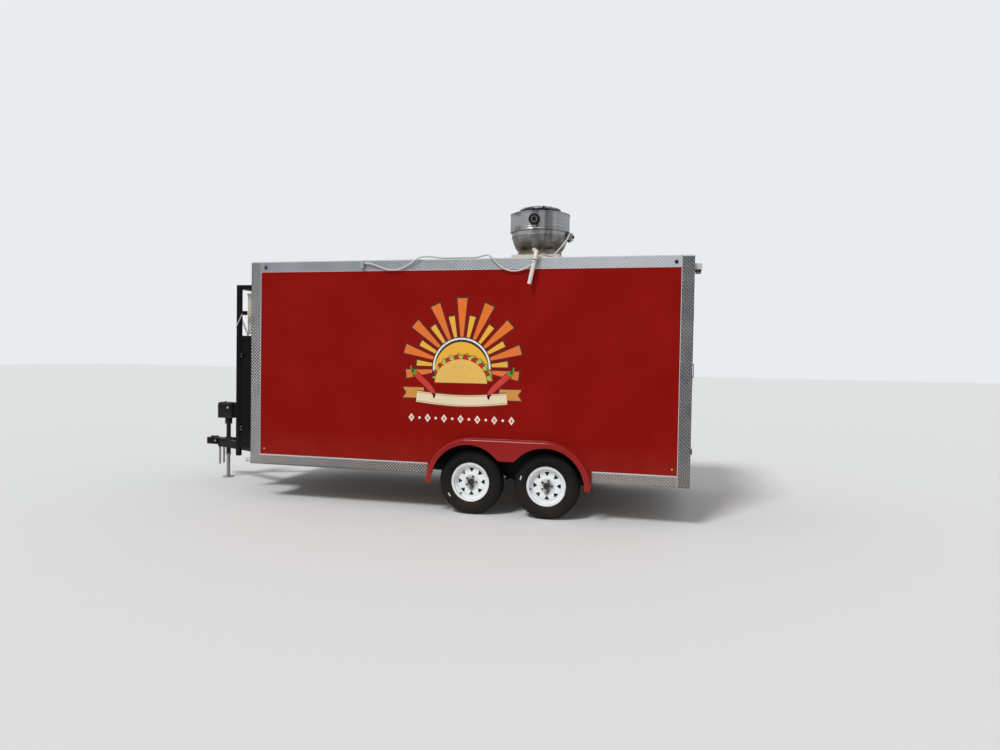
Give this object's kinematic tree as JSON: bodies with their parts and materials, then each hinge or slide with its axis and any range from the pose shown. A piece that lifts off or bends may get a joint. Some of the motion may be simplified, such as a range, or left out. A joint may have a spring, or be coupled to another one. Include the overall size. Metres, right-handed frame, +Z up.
{
  "type": "food trailer",
  "caption": "Box food trailer with two axles, a roof exhaust fan, a front cage on its tongue, a rear door and a serving hatch with a folding shelf.",
  "frame": {"origin": "on the ground under the middle of the trailer's overall length and width", "axes": "+X towards the rear door, the coupler towards -X, +Y towards the serving side, +Z up"},
  "size_m": [6.407, 2.614, 3.354],
  "materials": {
    "black_steel": "satin",
    "cast_hub": "greasy",
    "cream_steel": "satin",
    "deck_board": "plain",
    "fan_metal": "spun",
    "grey_plastic": "matt",
    "lamp_plastic": "clear lens",
    "pale_plastic": "matt",
    "red_panel": "gloss",
    "red_steel": "gloss",
    "roof_skin": "satin",
    "stainless": "brushed",
    "tread_plate": "bright tread plate",
    "tyre_rubber": "dusty",
    "white_steel": "gloss",
    "zinc_chain": "weathered"
  },
  "bodies": {
    "trailer": {"axles": "black_steel", "bottom_rails": "tread_plate", "cage_locker": "black_steel", "chassis_frame": "black_steel", "condenser_unit": "cream_steel", "conduit_fittings": "grey_plastic", "cook_line": "stainless", "corner_posts": "tread_plate", "coupler": "black_steel", "cross_members": "black_steel", "drain_pipe": "pale_plastic", "exhaust_hood": "stainless", "fan_bowl": "fan_metal", "fan_conduit": "pale_plastic", "fan_curb": "cream_steel", "fan_lid": "fan_metal", "fan_windband": "fan_metal", "fender_serving_side": "red_steel", "fender_street_side": "red_steel", "floor_deck": "deck_board", "front_cage": "black_steel", "jack_housing": "black_steel", "leaf_springs": "black_steel", "marker_lamps": "lamp_plastic", "porch_lamp": "grey_plastic", "roof": "roof_skin", "safety_chains": "zinc_chain", "serving_counter": "stainless", "serving_frame": "tread_plate", "shelf_brackets": "stainless", "tail_lamps": "lamp_plastic", "tongue_frame": "black_steel", "top_rails": "tread_plate", "wall_front": "red_panel", "wall_rear": "red_panel", "wall_serving_side": "red_panel", "wall_street_side": "red_panel", "wheel_boxes": "black_steel"},
    "wheel_front_street": {"tyre_front_street": "tyre_rubber", "rim_front_street": "white_steel", "hub_front_street": "cast_hub"},
    "wheel_front_serving": {"tyre_front_serving": "tyre_rubber", "rim_front_serving": "white_steel", "hub_front_serving": "cast_hub"},
    "wheel_rear_street": {"tyre_rear_street": "tyre_rubber", "rim_rear_street": "white_steel", "hub_rear_street": "cast_hub"},
    "wheel_rear_serving": {"tyre_rear_serving": "tyre_rubber", "rim_rear_serving": "white_steel", "hub_rear_serving": "cast_hub"},
    "exhaust_fan_wheel": {"fan_wheel": "fan_metal"},
    "door_rear": {"rear_door": "red_panel"},
    "door_cage": {"cage_door": "black_steel"},
    "hatch": {"serving_hatch": "red_panel"},
    "shelf": {"serving_shelf": "stainless"},
    "jack_inner": {"jack_leg": "zinc_chain"}
  },
  "joints": [
    {"name": "roll_front_street", "type": "hinge", "parent": "trailer", "child": "wheel_front_street", "pos_m": [0.8665, -1.122, 0.345], "axis": [0, 1, 0], "continuous": true},
    {"name": "roll_front_serving", "type": "hinge", "parent": "trailer", "child": "wheel_front_serving", "pos_m": [0.8665, 1.122, 0.345], "axis": [0, 1, 0], "continuous": true},
    {"name": "roll_rear_street", "type": "hinge", "parent": "trailer", "child": "wheel_rear_street", "pos_m": [1.6865, -1.122, 0.345], "axis": [0, 1, 0], "continuous": true},
    {"name": "roll_rear_serving", "type": "hinge", "parent": "trailer", "child": "wheel_rear_serving", "pos_m": [1.6865, 1.122, 0.345], "axis": [0, 1, 0], "continuous": true},
    {"name": "fan_spin", "type": "hinge", "parent": "trailer", "child": "exhaust_fan_wheel", "pos_m": [1.4515, -0.555, 3.099], "axis": [0, 0, 1], "continuous": true},
    {"name": "rear_door_hinge", "type": "hinge", "parent": "trailer", "child": "door_rear", "pos_m": [3.1325, -0.7115, 1.476], "axis": [0, 0, -1], "range_deg": [0, 110]},
    {"name": "cage_door_hinge", "type": "hinge", "parent": "trailer", "child": "door_cage", "pos_m": [-2.215, -0.754, 1.20115], "axis": [0, 0, -1], "range_deg": [0, 110]},
    {"name": "hatch_hinge", "type": "hinge", "parent": "trailer", "child": "hatch", "pos_m": [0.4465, 1.231, 2.4035], "axis": [1, 0, 0], "range_deg": [0, 90]},
    {"name": "shelf_hinge", "type": "hinge", "parent": "trailer", "child": "shelf", "pos_m": [0.4465, 1.241, 1.39], "axis": [1, 0, 0], "range_deg": [0, 90]},
    {"name": "jack_slide", "type": "slide", "parent": "trailer", "child": "jack_inner", "axis": [0, 0, 1], "range_m": [0, 0.28]}
  ]
}
